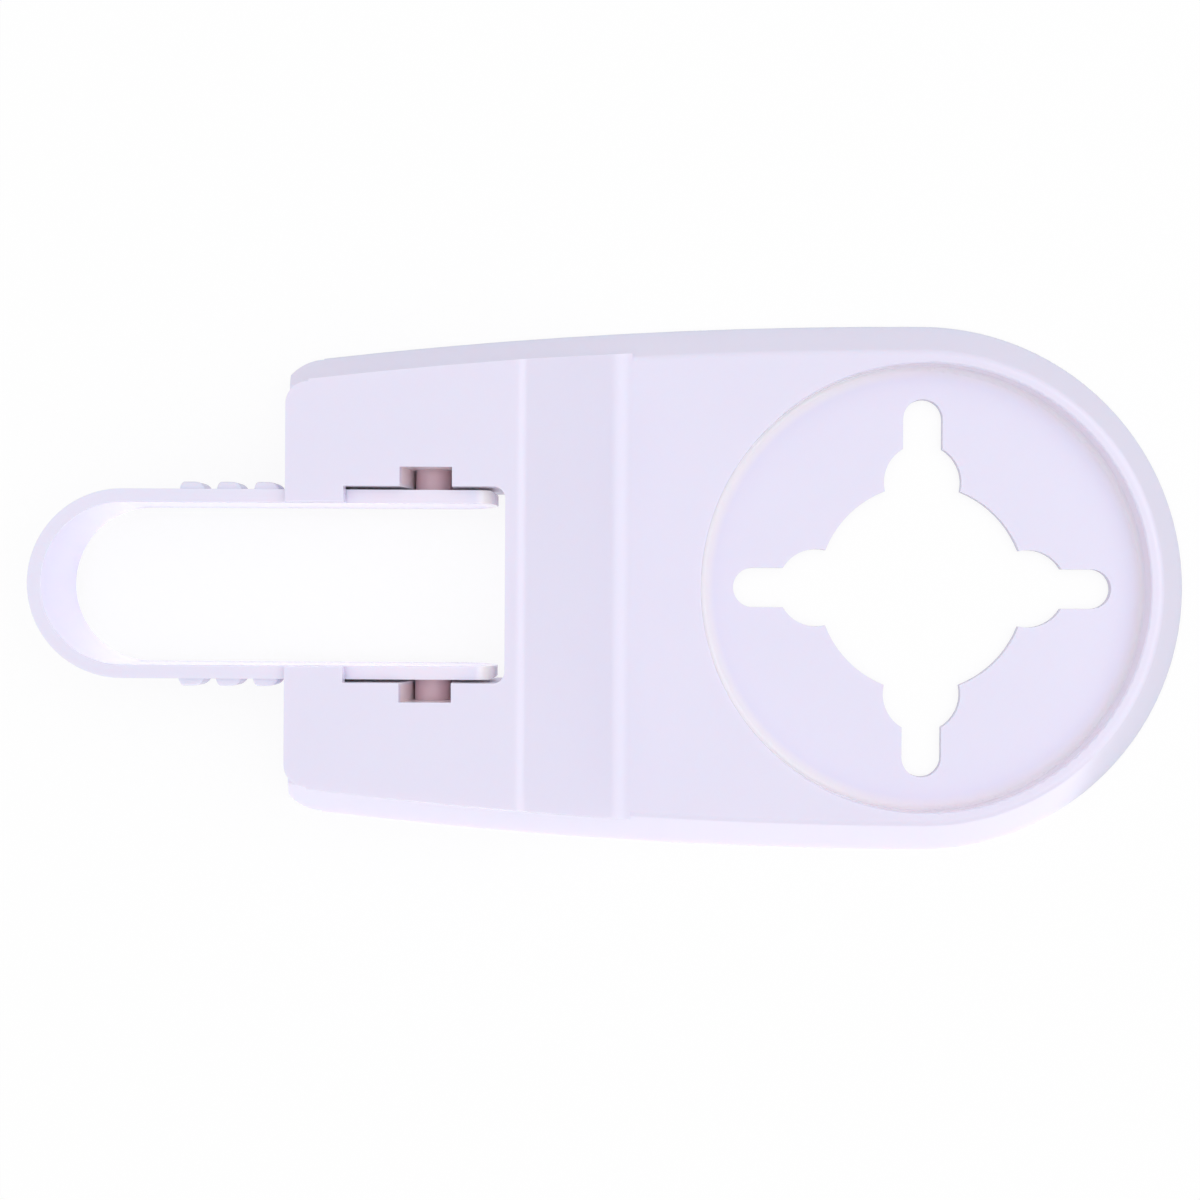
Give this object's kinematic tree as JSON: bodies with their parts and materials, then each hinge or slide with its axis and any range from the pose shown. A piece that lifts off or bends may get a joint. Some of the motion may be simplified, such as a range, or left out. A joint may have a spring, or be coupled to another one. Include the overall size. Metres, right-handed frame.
{
  "type": "door lever lock",
  "caption": "Plate clamped behind a door lever's rosette, with a raised hinge block and a U-shaped loop that swings up round the lever and keeps it from turning.",
  "frame": {"origin": "on the lever's spindle axis, at the door's surface", "axes": "+Z away from the door, +X towards the plate's round end, the parked loop lies along -X"},
  "size_m": [0.1706, 0.08, 0.018],
  "materials": {
    "housing_plastic": "satin white, fine moulded grain",
    "loop_plastic": "semi-gloss white",
    "pin_plastic": "matte rose"
  },
  "bodies": {
    "base": {"mounting_plate": "housing_plastic", "retaining_lip_upper": "housing_plastic", "retaining_lip_lower": "housing_plastic"},
    "loop": {"swing_loop": "loop_plastic", "pivot_pin_upper": "pin_plastic", "pivot_pin_lower": "pin_plastic"}
  },
  "joints": [
    {"name": "loop_swing", "type": "hinge", "parent": "base", "child": "loop", "pos_m": [-0.0731, 0, 0.0099], "axis": [0, 1, 0], "range_deg": [0, 90], "deforming": ["retaining_lip_upper", "retaining_lip_lower"]}
  ]
}
